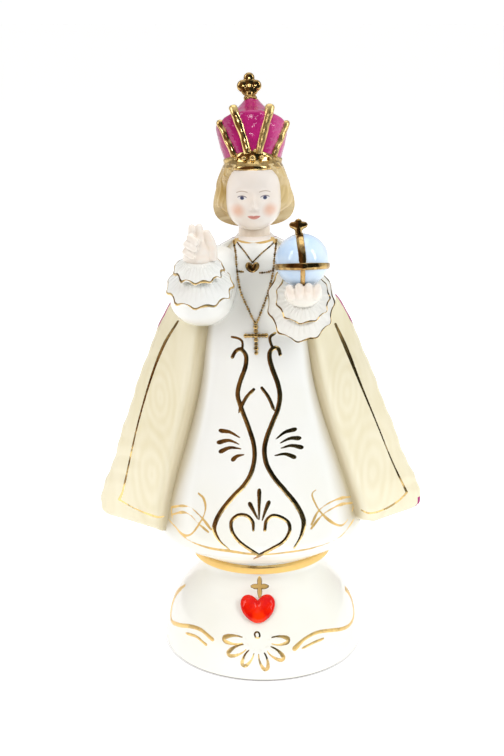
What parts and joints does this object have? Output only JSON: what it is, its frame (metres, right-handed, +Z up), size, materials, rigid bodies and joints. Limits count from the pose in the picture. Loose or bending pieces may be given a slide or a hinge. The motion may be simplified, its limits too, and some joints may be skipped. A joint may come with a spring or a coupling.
{
  "type": "infant of prague statuette",
  "caption": "Upright glazed porcelain statuette of a crowned child in robe and mantle, one hand raised, an orb on the other, on a round foot.",
  "frame": {"origin": "middle of the foot's flat underside", "axes": "+Z up to the crown's cross, the figure faces -Y, +X is to the right as a viewer faces it"},
  "size_m": [0.12, 0.0764, 0.2098],
  "materials": {
    "glaze_white": "glossy white glaze",
    "glaze_cream": "glossy cream lustre of the mantle's lining",
    "glaze_magenta": "glossy magenta glaze",
    "gold": "fired gold lustre over the glaze",
    "glaze_blue": "glossy pale blue glaze",
    "glaze_red": "glossy red glaze",
    "glaze_skin": "pale flesh-tinted glaze",
    "glaze_hair": "tan-gold brushed glaze"
  },
  "bodies": {
    "root": {"figurine": "glaze_white"}
  },
  "joints": []
}
